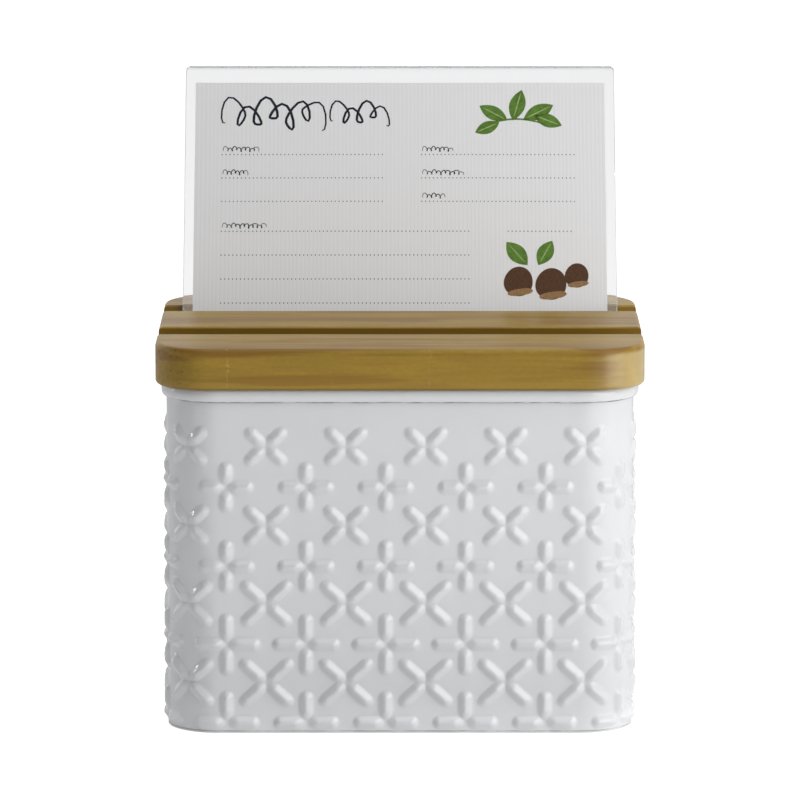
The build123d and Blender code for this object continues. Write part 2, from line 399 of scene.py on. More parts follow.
def lid_grain(finish, pale, dark):
    """The wood's colour, with the fibre, tone and mottle that it is made from."""
    rings = finish.noise(finish.stretched((7, 40, 75), (0, radians(9), 0)), 1.0, 4, 0.6, 1.2)
    fibre = finish.noise(finish.stretched((22, 700, 700), (0, radians(5), 0)), 1.0, 4, 0.65)
    tone = finish.noise(finish.stretched((10, 25, 25)), 1.0, 2)
    mottle = finish.noise(finish.stretched((420, 900, 900)), 1.0, 3, 0.6)
    streak = finish.noise(finish.stretched((11, 90, 170), (0, radians(7), 0)), 1.0, 2, 0.5, 0.4)
    body = finish.ramp(rings, (0.28, dark), (0.42, pale), (0.52, scaled(pale, 1.06)),
                       (0.60, scaled(pale, 0.90)), (0.72, pale))
    body = finish.blend(finish.span(fibre, 0.42, 0.72, 0.0, 0.35), body, scaled(dark, 0.82))
    body = finish.blend(finish.span(tone, 0.35, 0.65, 0.0, 0.35), body, scaled(pale, 1.12))
    body = finish.blend(finish.span(streak, 0.50, 0.60, 0.0, 0.9), body, WOOD_STREAK)
    body = finish.blend(finish.span(mottle, 0.35, 0.65, 0.0, 0.30), body, scaled(dark, 0.95))
    return body, fibre, tone, mottle


def lid_joints(finish, across):
    """The wandering, broken glue lines between the boards."""
    uneven = finish.maths("SUBTRACT", finish.noise(finish.place, 520, 2), 0.5)
    place = finish.maths("ADD", across, finish.times(uneven, JOINT_WANDER))
    seam = 0.0
    for joint, strength in JOINTS:
        line = finish.maths("LESS_THAN", finish.off(place, joint), JOINT_HALF)
        seam = finish.maths("MAXIMUM", seam, finish.times(line, strength))
    dashes = finish.span(finish.noise(finish.place, 900, 2), 0.42, 0.55)
    return finish.times(seam, dashes)


def lid_milled(finish, across, back, up):
    """1 in the two grooves, 0 on the rest of the lid."""
    sunk = finish.span(up, lid_high.z - 0.8 * MM, lid_high.z - 0.4 * MM, 1.0, 0.0)
    inside = finish.times(finish.maths("GREATER_THAN", back, lid_low.y + 30 * MM),
                          finish.maths("LESS_THAN", back, lid_low.y + 110 * MM))
    middle = finish.maths("LESS_THAN", finish.maths("ABSOLUTE", across), lid_high.x - 0.05 * MM)
    over_foot = finish.maths("GREATER_THAN", up, lid_low.z + 1.7 * MM)
    return finish.times(finish.times(finish.times(sunk, inside), middle), over_foot)


def lid_finish(lid):
    """Pale brown boards, finger-jointed end to end, under thin satin varnish."""
    finish = Finish("lid_wood")
    across, back, up = finish.split()
    low, top, right = lid_low.z, lid_high.z, lid_high.x
    dark = colour_of(lid.dark)
    on_front = finish.maths("LESS_THAN", back, lid_low.y + 1.0 * MM)
    body, fibre, tone, mottle = lid_grain(finish, colour_of(lid.pale), dark)
    body = finish.blend(finish.span(up, low + 1 * MM, low + 7 * MM, 0.5, 0.0), body, WOOD_LOW)
    body = finish.blend(finish.times(lid_joints(finish, across), on_front), body, GLUE)

    # dark specks, most of them at the left end
    speck = finish.span(finish.noise(finish.stretched((500, 900, 1300)), 1.0, 2), 0.60, 0.70)
    left_end = finish.span(across, lid_low.x + 6 * MM, lid_low.x + 16 * MM, 0.75, 0.12)
    body = finish.blend(finish.times(speck, left_end), body, scaled(dark, 0.45))

    # painted shade along the lower edge, and a broken dark line along the upper one
    body = finish.blend(finish.span(up, low + 0.3 * MM, low + 1.3 * MM, 0.6, 0.0), body, scaled(dark, 0.35))
    arris = finish.span(finish.off(up, top - 2.0 * MM), 0.2 * MM, 0.9 * MM, 0.45, 0.0)
    arris = finish.times(arris, finish.times(on_front, finish.span(tone, 0.35, 0.6)))
    body = finish.blend(arris, body, scaled(dark, 0.5))

    # front right corner: a pale highlight painted into the colour, and a clear coat that shines
    corner = finish.times(finish.span(back, lid_low.y + 13 * MM, lid_low.y + 22 * MM, 1.0, 0.0),
                          finish.span(up, top - 2.6 * MM, top - 1.4 * MM, 1.0, 0.0))
    shine = finish.times(corner, finish.span(across, right - 22 * MM, right - 13 * MM, 0.0, 0.9))
    rubs_and_painted_sheen = finish.times(corner, finish.span(across, right - 15 * MM, right - 4 * MM, 0.0, 0.6))
    body = finish.blend(rubs_and_painted_sheen, body, PAINTED_SHEEN_WOOD)

    # in the grooves: painted shade in the colour, and less shine
    milled = lid_milled(finish, across, back, up)
    body = finish.blend(milled, body, colour_of(lid.painted_groove_shade))
    finish.set(Base_Color=body, Roughness=finish.span(fibre, 0.3, 0.7, 0.36, 0.48), IOR=1.46)
    finish.set(Specular_IOR_Level=finish.span(milled, 0, 1, 0.42, 0.12))
    finish.set(Coat_Weight=shine, Coat_Roughness=0.30, Coat_IOR=1.6)
    grain = finish.maths("ADD", finish.times(fibre, 0.6), finish.times(mottle, 0.4))
    finish.bump(grain, 0.30, 0.15 * MM)
    return finish.material


def plug_finish():
    """Bare sanded board under the lid."""
    finish = Finish("plug_wood")
    figure = finish.noise(finish.stretched((5, 60, 20)), 1.0, 3, 0.55, 0.6)
    fibre = finish.noise(finish.stretched((30, 900, 900)), 1.0, 4, 0.6)
    body = finish.ramp(figure, (0.3, (0.40, 0.27, 0.12)), (0.55, (0.52, 0.38, 0.20)),
                       (0.75, (0.44, 0.30, 0.14)))
    body = finish.blend(finish.span(fibre, 0.4, 0.75, 0.0, 0.25), body, (0.30, 0.19, 0.08))
    finish.set(Base_Color=body, Roughness=finish.span(fibre, 0.3, 0.7, 0.55, 0.7))
    finish.bump(fibre, 0.3, 0.15 * MM)
    return finish.material


def steel_finish():
    """Zinc plated steel."""
    finish = Finish("zinc_steel")
    mottle = finish.noise(finish.place, 1500, 3)
    body = finish.ramp(mottle, (0.35, (0.42, 0.42, 0.40)), (0.65, (0.60, 0.60, 0.57)))
    finish.set(Base_Color=body, Metallic=1.0, Roughness=finish.span(mottle, 0.3, 0.7, 0.28, 0.42))
    return finish.material


def acrylic_finish():
    """Clear acrylic with faint rub marks and pale sawn edges."""
    finish = Finish("clear_acrylic")
    across, back, up = finish.split()
    side = finish.maths("GREATER_THAN", finish.maths("ABSOLUTE", across), pane_high.x - SAWN_SIDE)
    to_back, to_top = sin(PANE_SLOPE), cos(PANE_SLOPE)
    along = finish.maths("ADD", finish.times(back, to_back), finish.times(up, to_top))
    reach = pane_high.y * to_back + pane_high.z * to_top
    top = finish.maths("GREATER_THAN", along, reach - PANE_THICKNESS * sin(2 * PANE_SLOPE) / 2 - SAWN_TOP)
    edge = finish.maths("MAXIMUM", side, top)
    finish.set(Base_Color=finish.blend(edge, (0.94, 0.942, 0.944), (0.80, 0.83, 0.83)), IOR=1.49)
    finish.set(Transmission_Weight=finish.span(edge, 0, 1, 1.0, 0.35))
    rubs_and_painted_sheen = finish.span(finish.noise(finish.stretched((20, 300, 300)), 1.0, 3), 0.55, 0.8, 0.0, 0.03)
    sawn = finish.span(finish.noise(finish.stretched((900, 900, 200)), 1.0, 2), 0, 1, 0.2, 0.4)
    finish.set(Roughness=finish.maths("MAXIMUM", rubs_and_painted_sheen, finish.times(edge, sawn)))
    return finish.material


def paper_finish(card):
    """White card with fine upright ribs."""
    finish = Finish("ribbed_paper")
    colour = colour_of(card.paper)
    uneven = finish.times(finish.noise(finish.stretched((300, 4, 4)), 1.0, 1), 0.7 * MM)
    phase = finish.times(finish.maths("ADD", finish.split()[0], uneven), 2 * pi / card.rib_step)
    rib = finish.maths("ADD", finish.times(finish.maths("SINE", phase), 0.5), 0.5)
    fibre = finish.noise(finish.stretched((700, 120, 120)), 1.0, 3)
    tone = finish.maths("ADD", finish.times(rib, 0.6), finish.times(fibre, 0.4))
    finish.set(Base_Color=finish.ramp(tone, (0.1, scaled(colour, 0.955)), (0.9, scaled(colour, 1.015))))
    finish.set(Roughness=0.75, Specular_IOR_Level=0.25)
    finish.bump(tone, 0.2, 0.12 * MM)
    return finish.material


def plain_paper_finish(name, pale, deep):
    """Uncoated stock for the cards and dividers in the tin."""
    finish = Finish(name)
    fibre = finish.noise(finish.place, 900, 4)
    cloud = finish.noise(finish.place, 40, 2)
    body = finish.ramp(cloud, (0.3, deep), (0.7, pale))
    body = finish.blend(finish.span(fibre, 0.5, 0.8, 0.0, 0.15), body, scaled(deep, 0.8))
    finish.set(Base_Color=body, Roughness=0.8, Specular_IOR_Level=0.25)
    finish.bump(fibre, 0.3, 0.05 * MM)
    return finish.material


def print_finish(name, colour, patch):
    """Printed colour, a little uneven like a wash of paint."""
    finish = Finish(name)
    wash = finish.noise(finish.place, patch, 3, 0.6)
    finish.set(Base_Color=finish.ramp(wash, (0.3, scaled(colour, 0.75)), (0.7, scaled(colour, 1.35))))
    finish.set(Roughness=0.6, Specular_IOR_Level=0.3)
    return finish.material


# ---------------------------------------------------------------- embossed wall
# rows of crosses from the lowest up: height, upright or leaning, and the petals' reach level and up, in mm
ROWS = ((3.9, True, 11.6, 11.5), (18.4, False, 12.4, 12.4), (32.3, True, 12.1, 11.3),
        (47.1, False, 11.8, 11.8), (60.6, True, 10.2, 9.7), (75.4, False, 10.2, 10.2),
        (89.2, True, 9.9, 9.2), (103.9, False, 9.7, 9.7))
OVER_ROWS = 9.5  # mm of grid over the middle of the top row

RIDGE = 0.24  # softness of a petal's ridge, to half its width
POINT_REACH, POINT_POWER = 0.75, 1.9  # the pointed inner end, in petal widths
END_POWER = 2.4
FARTHEST = 4  # where the ends stop falling
UPRIGHT_END, LEANING_END = 0.55, 0.72  # length of the round outer end, in petal widths
LYING_WIDTH = 0.93  # of all petals but the standing ones, to a standing one
SLACK = 1e-9  # for places where two stretches of the wall meet

HEM_TOP, HEM_LEDGE = 2.2 * MM, 0.6 * MM
RIM_TURNS = range(-115, 171, 15)  # degrees round the section of the rolled rim


def wall_sizes(wall):
    """Lengths of the wall's straight and round stretches, and of the whole way round it."""
    width = wall_high.x - wall_low.x - 2 * wall.rim_overhang
    depth = wall_high.y - wall_low.y - 2 * wall.rim_overhang
    straight_x = width - 2 * wall.corner
    straight_y = depth - 2 * wall.corner
    arc = pi / 2 * wall.corner
    return straight_x, straight_y, arc, 2 * straight_x + 2 * straight_y + 4 * arc


def petal(along, across, length, width, rise, roundness):
    """Height of one petal over the wall: a soft ridge, pointed at its inner end, round at its outer one."""
    round_end = width * roundness
    inner = np.clip(1 - along / (POINT_REACH * width), 0, FARTHEST)
    outer = np.clip((along - length + round_end) / round_end, 0, FARTHEST)
    level = np.sqrt((2 * across / width) ** 2 + inner ** POINT_POWER + outer ** END_POWER)
    full = sqrt(1 + RIDGE ** 2) - RIDGE
    return rise * (sqrt(1 + RIDGE ** 2) - np.sqrt(level ** 2 + RIDGE ** 2)) / full


def relief(around, up, wall, step):
    """Height of the lattice over the wall at places round and up it."""
    height = np.full(around.shape, -wall.rise_low)
    lean = radians(wall.cross_lean)
    for row, (middle, upright, reach_level, reach_up) in enumerate(ROWS):
        rise = wall.rise_low + (wall.rise_high - wall.rise_low) * row / (len(ROWS) - 1)
        turns = (0, pi / 2, pi, -pi / 2) if upright else (lean, pi - lean, pi + lean, -lean)
        near = np.abs(up - middle * MM) < reach_level * MM + wall.petal_width
        for turn in turns:
            stands = upright and abs(sin(turn)) > 0.5
            reach = (reach_up if stands else reach_level) * MM
            if middle * MM + reach * sin(turn) < 0:
                continue
            start = wall.petal_start * (2 if stands else 1)
            width = wall.petal_width * (1 if stands else LYING_WIDTH)
            roundness = UPRIGHT_END if upright else LEANING_END
            first = wall.phase % step + (0 if upright else step / 2)
            for column in (-2, -1, 0, 1):
                dx = around[near] - first - column * step
                dz = up[near] - middle * MM
                along = dx * cos(turn) + dz * sin(turn) - start
                across = dz * cos(turn) - dx * sin(turn)
                one = petal(along, across, reach - start, width, rise, roundness)
                height[near] = np.maximum(height[near], one)
    soft = wall.petal_edge
    return (height + np.sqrt(height ** 2 + soft ** 2)) / 2


def relief_facing(around, up, wall, step):
    """Which way the lattice faces at places round and up the wall: rows x round, y inwards, z up."""
    reach = 0.05 * MM
    slope_x = (relief(around + reach, up, wall, step) - relief(around - reach, up, wall, step)) / (2 * reach)
    slope_z = (relief(around, up + reach, wall, step) - relief(around, up - reach, wall, step)) / (2 * reach)
    facing = np.stack([-slope_x, np.full(around.shape, -1.0), -slope_z], axis=1)
    return facing / np.linalg.norm(facing, axis=1)[:, None]


def wall_places(along, wall):
    """Middle of the bend, and the way the wall faces, for places round the tin from its front's middle."""
    straight_x, straight_y, arc, around = wall_sizes(wall)
    legs = [(straight_x / 2, 0), (arc, 1), (straight_y, 0), (arc, 1), (straight_x, 0),
            (arc, 1), (straight_y, 0), (arc, 1), (straight_x / 2, 0)]
    along = np.mod(along, around)
    x, y, heading, start = 0.0, tin_centre_y - straight_y / 2, 0.0, 0.0
    middle = np.empty((len(along), 2))
    turn = np.empty(len(along))
    for length, is_round in legs:
        here = (along >= start - SLACK) & (along <= start + length + SLACK)
        part = along[here] - start
        turn[here] = heading + (part / wall.corner if is_round else 0 * part)
        slide = 0 * part if is_round else part
        middle[here, 0] = x + slide * cos(heading)
        middle[here, 1] = y + slide * sin(heading)
        if is_round:
            heading += pi / 2
        else:
            x, y = x + length * cos(heading), y + length * sin(heading)
        start += length
    return middle, turn


def wrap(points, wall):
    """Bend a flat layout round the tin: x runs round it from the middle of the front, -y points outwards."""
    middle, turn = wall_places(points[:, 0], wall)
    out = wall.corner - points[:, 1]
    x, y = middle[:, 0] + out * np.sin(turn), middle[:, 1] - out * np.cos(turn)
    return np.stack([x, y, points[:, 2]], axis=1)


def wrap_facing(points, facing, wall):
    """Turn directions of the flat layout as their places are bent round the tin."""
    turn = wall_places(points[:, 0], wall)[1]
    c, s = np.cos(turn), np.sin(turn)
    x, y, z = facing.T
    return np.stack([x * c - y * s, x * s + y * c, z], axis=1)


def make_lattice(wall, step, first_column, columns):
    """Some columns of the lattice, modelled once, repeated and bent round the tin."""
    cell = step / wall.cells
    top = wall_high.z - wall.rim_height + wall.crevice
    lattice_top = (ROWS[-1][0] + OVER_ROWS) * MM
    cells_up = round(lattice_top / cell)
    deselect_all()
    bpy.ops.mesh.primitive_grid_add(x_subdivisions=wall.cells, y_subdivisions=cells_up, size=1,
                                    location=(step / 2, 0, lattice_top / 2), rotation=(pi / 2, 0, 0))
    piece = bpy.context.object
    piece.scale = (step, lattice_top, 1)
    apply_place(piece)
    points = points_of(piece)
    upper = points[:, 2] > lattice_top - HAIR
    points[upper, 2] = top
    raised = relief(points[:, 0], points[:, 2], wall, step)
    raised[(points[:, 2] < HAIR) | upper] = 0
    points[:, 1] = -raised
    points[:, 0] += first_column * step
    set_points(piece, points)
    add_and_apply(piece, "ARRAY", count=columns, use_relative_offset=False, use_constant_offset=True,
                  constant_offset_displace=(step, 0, 0), use_merge_vertices=True, merge_threshold=HAIR)
    points = points_of(piece)
    column = np.floor(points[:, 0] / step - first_column)
    around = points[:, 0] - first_column * step - step * column
    facing = relief_facing(around, points[:, 2], wall, step)
    set_points(piece, wrap(points, wall))
    take(piece)
    bpy.ops.object.shade_smooth()
    piece.data.normals_split_custom_set_from_vertices(wrap_facing(points, facing, wall).tolist())
    return piece


def rim_and_lining(wall):
    """Section of the rolled rim, the inside and the folded foot: pairs of distance outwards and height."""
    top = wall_high.z
    mid = top - wall.rim_height / 2
    half_wide = (wall.rim_overhang + wall.sheet) / 2
    centre = wall.rim_overhang - half_wide
    path = [(0.0, top - wall.rim_height + wall.crevice)]
    for turn in RIM_TURNS:
        path.append((centre + half_wide * cos(radians(turn)), mid + wall.rim_height / 2 * sin(radians(turn))))
    inner = -wall.sheet
    ledge = inner - HEM_LEDGE
    folded = ledge - wall.sheet
    return path + [(inner, mid), (inner, top / 2), (inner, wall.sheet), (ledge, wall.sheet),
                   (ledge, HEM_TOP), (folded, HEM_TOP), (folded, 0.0), (0.0, 0.0)]


def make_rim(wall, around):
    """Rolled rim, lining and folded foot: one section carried all the way round."""
    path = rim_and_lining(wall)
    deselect_all()
    bpy.ops.mesh.primitive_grid_add(x_subdivisions=wall.rim_cells, y_subdivisions=len(path) - 1, size=1,
                                    location=(0.5, 0, 0.5), rotation=(pi / 2, 0, 0))
    piece = bpy.context.object
    apply_place(piece)
    points = points_of(piece)
    section = np.array(path)[np.rint(points[:, 2] * (len(path) - 1)).astype(int)]
    points[:, 0] *= around
    points[:, 1] = -section[:, 0]
    points[:, 2] = section[:, 1]
    set_points(piece, wrap(points, wall))
    edit_all(piece, bpy.ops.mesh.remove_doubles, threshold=HAIR)
    shade_by_angle(piece, RIM_SMOOTH)
    return piece


class CARDTIN_OT_wall(bpy.types.Operator):
    """Make the embossed wall, one column repeated and bent round the tin, and its rolled rim"""

    bl_idname = "card_tin.wall"
    bl_label = "Embossed wall"

    def execute(self, context):
        wall = context.scene.card_tin_wall
        around = wall_sizes(wall)[3]
        step = around / wall.columns
        enamel = enamel_finish(wall)
        in_front = (wall.columns + 1) // 2
        first = -(in_front // 2)
        pieces = {"embossed_front": make_lattice(wall, step, first, in_front),
                  "embossed_back": make_lattice(wall, step, first + in_front, wall.columns - in_front),
                  "rolled_rim": make_rim(wall, around)}
        for name, piece in pieces.items():
            piece.name = name
            finish_piece(piece, enamel, "tin", ["tin_wall"])
        return {"FINISHED"}


class CARDTIN_OT_base(bpy.types.Operator):
    """Dress the base panel of the tin"""

    bl_idname = "card_tin.base"
    bl_label = "Base panel"

    def execute(self, context):
        dress("tin_base", base_finish())
        return {"FINISHED"}


# ---------------------------------------------------------------- lid
class CARDTIN_OT_lid(bpy.types.Operator):
    """Dress the lid board, the locating board under it and its screws"""

    bl_idname = "card_tin.lid"
    bl_label = "Wooden lid"

    def execute(self, context):
        dress("lid_board", lid_finish(context.scene.card_tin_lid))
        dress("lid_plug", plug_finish())
        dress("plug_screws", steel_finish())
        return {"FINISHED"}


class CARDTIN_OT_pane(bpy.types.Operator):
    """Dress the clear pane"""

    bl_idname = "card_tin.pane"
    bl_label = "Clear pane"

    def execute(self, context):
        dress("card_shield", acrylic_finish())
        return {"FINISHED"}


# ---------------------------------------------------------------- card on show
# the layout of the print, in mm from the lower middle of the card
RULES = ((-66, 72, 62), (-66, 62.5, 62), (-66, 53, 62), (-66, 41, 94), (-66, 31.5, 94), (-66, 22, 94),
         (-66, 12.5, 94), (8, 72, 58), (8, 62.5, 58), (8, 53, 58), (40, 41, 26))  # x, y, length
TITLES = ((-65, 88.5, 36, 14, 6, 1.0), (-25, 88.5, 20, 11, 4, 0.9))  # x, y, length, height, waves, width
LABELS = ((-65.5, 74.2, 13), (-65.5, 64.7, 9), (-65.5, 43.2, 16), (8.5, 74.2, 11), (8.5, 64.7, 15),
          (8.5, 55.2, 8))  # x, y, length
LABEL_HEIGHT, LABEL_WIDTH = 2.3, 0.36
LABEL_WAVES = 0.62  # to a mm
LEAVES = ((12, 5.6, 40, 86, 150), (13, 6, 42, 86, 75), (12.5, 6, 46, 86.5, 28), (10, 5, 37, 85.2, 205),
          (11, 5.4, 50, 88, -22), (12, 6.5, 47, 27.5, 130),
          (11, 6, 51, 27.5, 62))  # length, width, x, y, turn in degrees
TWIG = [(31 + 2.5 * i, 84 + 2.6 * sin(0.32 * i)) for i in range(11)]
NUTS = ((43.5, 20.5, 5.6), (55.5, 19.5, 6.0), (65, 23, 4.6))  # x, y, radius
VEIN_WIDTH, TWIG_WIDTH = 0.5, 0.7
VEIN_PARTS = 8  # of a leaf's length; the vein stops one short of both ends
NUT_TURN, CAP_TURN = radians(-12), radians(8)
CAP_FLAT = 0.42  # height of a cap to its width
CAP_ASIDE, CAP_DOWN = 0.13, 0.66  # from the middle of its nut, in radii
OVERLAP = 1.5  # lift of one printed shape over another, in thicknesses of the print
WAVE_PARTS = 12  # of one wave of a scribble
CARD_CELLS, CARD_ROWS = 24, 40
BOW_FALL = 0.3  # how much less the card bows at its sides than in its middle
CARD_SMOOTH, RIM_SMOOTH = 40, 50  # degrees between faces that still look smooth


def card_length(card):
    """Length of the card from its foot to its top, along its slope."""
    return (card_high.z - card_low.z - card.thickness * sin(card.lean)) / cos(card.lean)


def on_card(points, card):
    """Carry a flat layout onto the leaning card: x across, y up the card, z out of its front."""
    half_wide = (card_high.x - card_low.x) / 2
    foot_back = card_low.y + card.thickness * cos(card.lean)
    tall = card_length(card)
    up, out = points[:, 1], points[:, 2] + card.thickness
    bow = card.bow * np.sin(pi * np.clip(up / tall, 0, 1))
    out = out + bow * (1 - BOW_FALL * (points[:, 0] / half_wide) ** 2)
    placed = np.empty_like(points)
    placed[:, 0] = points[:, 0]
    placed[:, 1] = foot_back + up * sin(card.lean) - out * cos(card.lean)
    placed[:, 2] = card_low.z + up * cos(card.lean) + out * sin(card.lean)
    return placed


def make_card_sheet(card):
    """The card itself, bowed a little, with its thickness behind its front face."""
    wide = card_high.x - card_low.x
    tall = card_length(card)
    deselect_all()
    bpy.ops.mesh.primitive_grid_add(x_subdivisions=CARD_CELLS, y_subdivisions=CARD_ROWS, size=1,
                                    location=(0, tall / 2, 0))
    sheet = bpy.context.object
    sheet.scale = (wide, tall, 1)
    apply_place(sheet)
    add_and_apply(sheet, "SOLIDIFY", thickness=card.thickness, offset=-1)
    set_points(sheet, on_card(points_of(sheet), card))
    face_outwards(sheet)
    shade_by_angle(sheet, CARD_SMOOTH)
    sheet.name = "printed_card"
    return sheet


def place_print(piece, x, y, turn=0.0):
    """Put a printed shape's middle at a place on the card, in mm from its lower middle."""
    points = points_of(piece)
    c, s = cos(turn), sin(turn)
    placed = points.copy()
    placed[:, 0] = points[:, 0] * c - points[:, 1] * s + x * MM
    placed[:, 1] = points[:, 0] * s + points[:, 1] * c + y * MM
    set_points(piece, placed)


def print_shape(corners, radius_at):
    """A flat printed shape, drawn as a disc whose radius, in mm, follows the angle."""
    deselect_all()
    bpy.ops.mesh.primitive_circle_add(vertices=corners, radius=1, fill_type="TRIFAN")
    shape = bpy.context.object
    points = points_of(shape)
    angle = np.arctan2(points[:, 1], points[:, 0])
    reach = np.hypot(points[:, 0], points[:, 1]) * np.array([radius_at(a) for a in angle]) * MM
    points[:, 0], points[:, 1] = reach * np.cos(angle), reach * np.sin(angle)
    set_points(shape, points)
    return shape


def print_leaf(length, width, x, y, turn):
    """A pointed leaf, its stalk end at the place and its tip out along the turn."""
    leaf = print_shape(28, lambda angle: 1.0)
    points = points_of(leaf)
    along, across = points[:, 0] / MM, points[:, 1] / MM
    points[:, 0] = (along + 1) * length / 2 * MM
    points[:, 1] = across * np.sqrt(np.clip(1 - along ** 2, 0, 1) + 0.001) * width / 2 * MM
    set_points(leaf, points)
    place_print(leaf, x, y, turn)
    return leaf


def print_stroke(route, width):
    """A drawn line along a route of places in mm, thin at both ends."""
    deselect_all()
    bpy.ops.mesh.primitive_grid_add(x_subdivisions=len(route) - 1, y_subdivisions=1, size=1,
                                    location=(0.5, 0, 0))
    line = bpy.context.object
    apply_place(line)
    points = points_of(line)
    step = np.rint(points[:, 0] * (len(route) - 1)).astype(int)
    route = np.array(route)
    ahead = np.gradient(route, axis=0)
    ahead /= np.linalg.norm(ahead, axis=1)[:, None]
    share = step / (len(route) - 1)
    half = width / 2 * (0.45 + 0.55 * np.sqrt(np.clip(np.sin(pi * share), 0, 1))) * np.sign(points[:, 1])
    points[:, 0] = (route[step, 0] - ahead[step, 1] * half) * MM
    points[:, 1] = (route[step, 1] + ahead[step, 0] * half) * MM
    set_points(line, points)
    return line


def print_scribble(x, y, length, height, waves, width):
    """A line of uneven written waves, in place of words."""
    route = []
    steps = waves * WAVE_PARTS
    for i in range(steps + 1):
        turn = 2 * pi * waves * i / steps
        wave = 0.62 * cos(turn) + 0.30 * cos(0.43 * turn + 2) + 0.16 * sin(1.9 * turn)
        route.append((x + length * i / steps - 0.20 * height * sin(turn), y - height / 2 * wave))
    return print_stroke(route, width)


def print_rule(card, x, y, length):
    """A dotted rule that starts at a place."""
    dot = print_shape(6, lambda angle: card.dot_size / 2 / MM)
    place_print(dot, x, y)
    add_and_apply(dot, "ARRAY", count=int(length * MM / card.dot_step), use_relative_offset=False,
                  use_constant_offset=True, constant_offset_displace=(card.dot_step, 0, 0))
    return dot


def finish_print(shapes, name, card, material):
    """Join printed shapes, give them their thickness and lay them on the card."""
    piece = join(shapes, name)
    add_and_apply(piece, "SOLIDIFY", thickness=card.print_thickness, offset=1)
    points = points_of(piece)
    points[:, 2] += card.print_lift
    set_points(piece, on_card(points, card))
    face_outwards(piece)
    finish_piece(piece, material, "card")


def lift_print(piece, card):
    """Lay a printed shape over the one below it."""
    points = points_of(piece)
    points[:, 2] += card.print_thickness * OVERLAP
    set_points(piece, points)


def print_vein(card, length, x, y, turn):
    """The pale middle line of a leaf."""
    c, s = cos(turn), sin(turn)
    route = [(x + c * length * i / VEIN_PARTS, y + s * length * i / VEIN_PARTS) for i in range(1, VEIN_PARTS)]
    vein = print_stroke(route, VEIN_WIDTH)
    lift_print(vein, card)
    return vein


def print_nut(card, x, y, size):
    """A round nut, and the pale cap at its foot."""
    nut = print_shape(36, lambda angle: size * (1 + 0.10 * sin(angle) ** 3 - 0.05 * cos(2 * angle)))
    place_print(nut, x, y, NUT_TURN)
    cap = print_shape(24, lambda angle: size * (0.55 + 0.30 * cos(angle) ** 2))
    points = points_of(cap)
    points[:, 1] *= CAP_FLAT
    set_points(cap, points)
    lift_print(cap, card)
    place_print(cap, x + CAP_ASIDE * size, y - CAP_DOWN * size, CAP_TURN)
    return nut, cap


def make_print(card):
    """A plain design: dotted rules, scribbles in place of words, leaves and round nuts."""
    ink = colour_of(card.ink)
    rules = [print_rule(card, *rule) for rule in RULES]
    finish_print(rules, "print_rules", card, print_finish("printed_rules", scaled(ink, 8), 900))
    words = [print_scribble(*title) for title in TITLES]
    words += [print_scribble(x, y, length, LABEL_HEIGHT, round(length * LABEL_WAVES), LABEL_WIDTH)
              for x, y, length in LABELS]
    finish_print(words, "print_words", card, print_finish("printed_ink", ink, 900))
    leaves = [print_leaf(length, width, x, y, radians(turn)) for length, width, x, y, turn in LEAVES]
    leaves.append(print_stroke(TWIG, TWIG_WIDTH))
    finish_print(leaves, "print_leaves", card, print_finish("printed_leaf", colour_of(card.leaf), 420))
    veins = [print_vein(card, length, x, y, radians(turn)) for length, _, x, y, turn in LEAVES]
    nuts, caps = zip(*(print_nut(card, *nut) for nut in NUTS))
    finish_print(nuts, "print_nuts", card, print_finish("printed_nut", colour_of(card.nut), 1500))
    finish_print(caps, "print_caps", card, print_finish("printed_cap", (0.30, 0.17, 0.07), 1500))
    finish_print(veins, "print_veins", card, print_finish("printed_vein", (0.30, 0.42, 0.13), 900))


class CARDTIN_OT_card(bpy.types.Operator):
    """Make the card on show and its print"""

    bl_idname = "card_tin.card"
    bl_label = "Card on show"

    def execute(self, context):
        card = context.scene.card_tin_card
        finish_piece(make_card_sheet(card), paper_finish(card), "card", ["display_card"])
        make_print(card)
        return {"FINISHED"}


# ---------------------------------------------------------------- cards in the tin
class CARDTIN_OT_contents(bpy.types.Operator):
    """Dress the cards and dividers kept in the tin"""

    bl_idname = "card_tin.contents"
    bl_label = "Cards and dividers"

    def execute(self, context):
        cards = plain_paper_finish("stacked_cards", (0.72, 0.71, 0.69), (0.66, 0.65, 0.62))
        board = plain_paper_finish("divider_board", (0.50, 0.44, 0.33), (0.43, 0.37, 0.27))
        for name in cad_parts:
            if name.startswith("recipe_cards"):
                dress(name, cards)
            if name.startswith("divider"):
                dress(name, board)
        return {"FINISHED"}


# ---------------------------------------------------------------- stage
# how much the floor shines by itself: for the camera, through the pane, and for everything
GLOW_SEEN, GLOW_THROUGH, GLOW_STEADY = 0.64, 0.34, 0.09

# brightness of the room round the object, by the compass: 0 left, 0.25 front, 0.5 right, 0.75 back, 1 left
ROOM = ((0.0, 0.20), (0.035, 0.03), (0.14, 0.02), (0.25, 0.12), (0.35, 0.18), (0.50, 0.34), (0.58, 0.90),
        (0.75, 1.0), (0.87, 1.0), (0.94, 0.60), (1.0, 0.20))
ROOM_BLUE = 1.02

FLOOR_SIZE, FLOOR_CELLS = 8, 8
SENSOR_WIDTH = 36  # mm
SIGHT = 50  # metres that the camera sees

# lamps: name, place, the point that it faces, its sides in metres and its power in watts
LAMPS = (("key_right", (0.50, -0.46, 0.30), (0, -0.03, 0.07), (0.55, 0.55), 2.5),
         ("soft_top", (0.1, -0.35, 1.1), (0, 0, 0.1), (0.8, 0.8), 2.9),
         ("strip_left", (-0.85, 0.15, 0.35), (-0.08, -0.05, 0.08), (0.05, 0.4), 0.6))


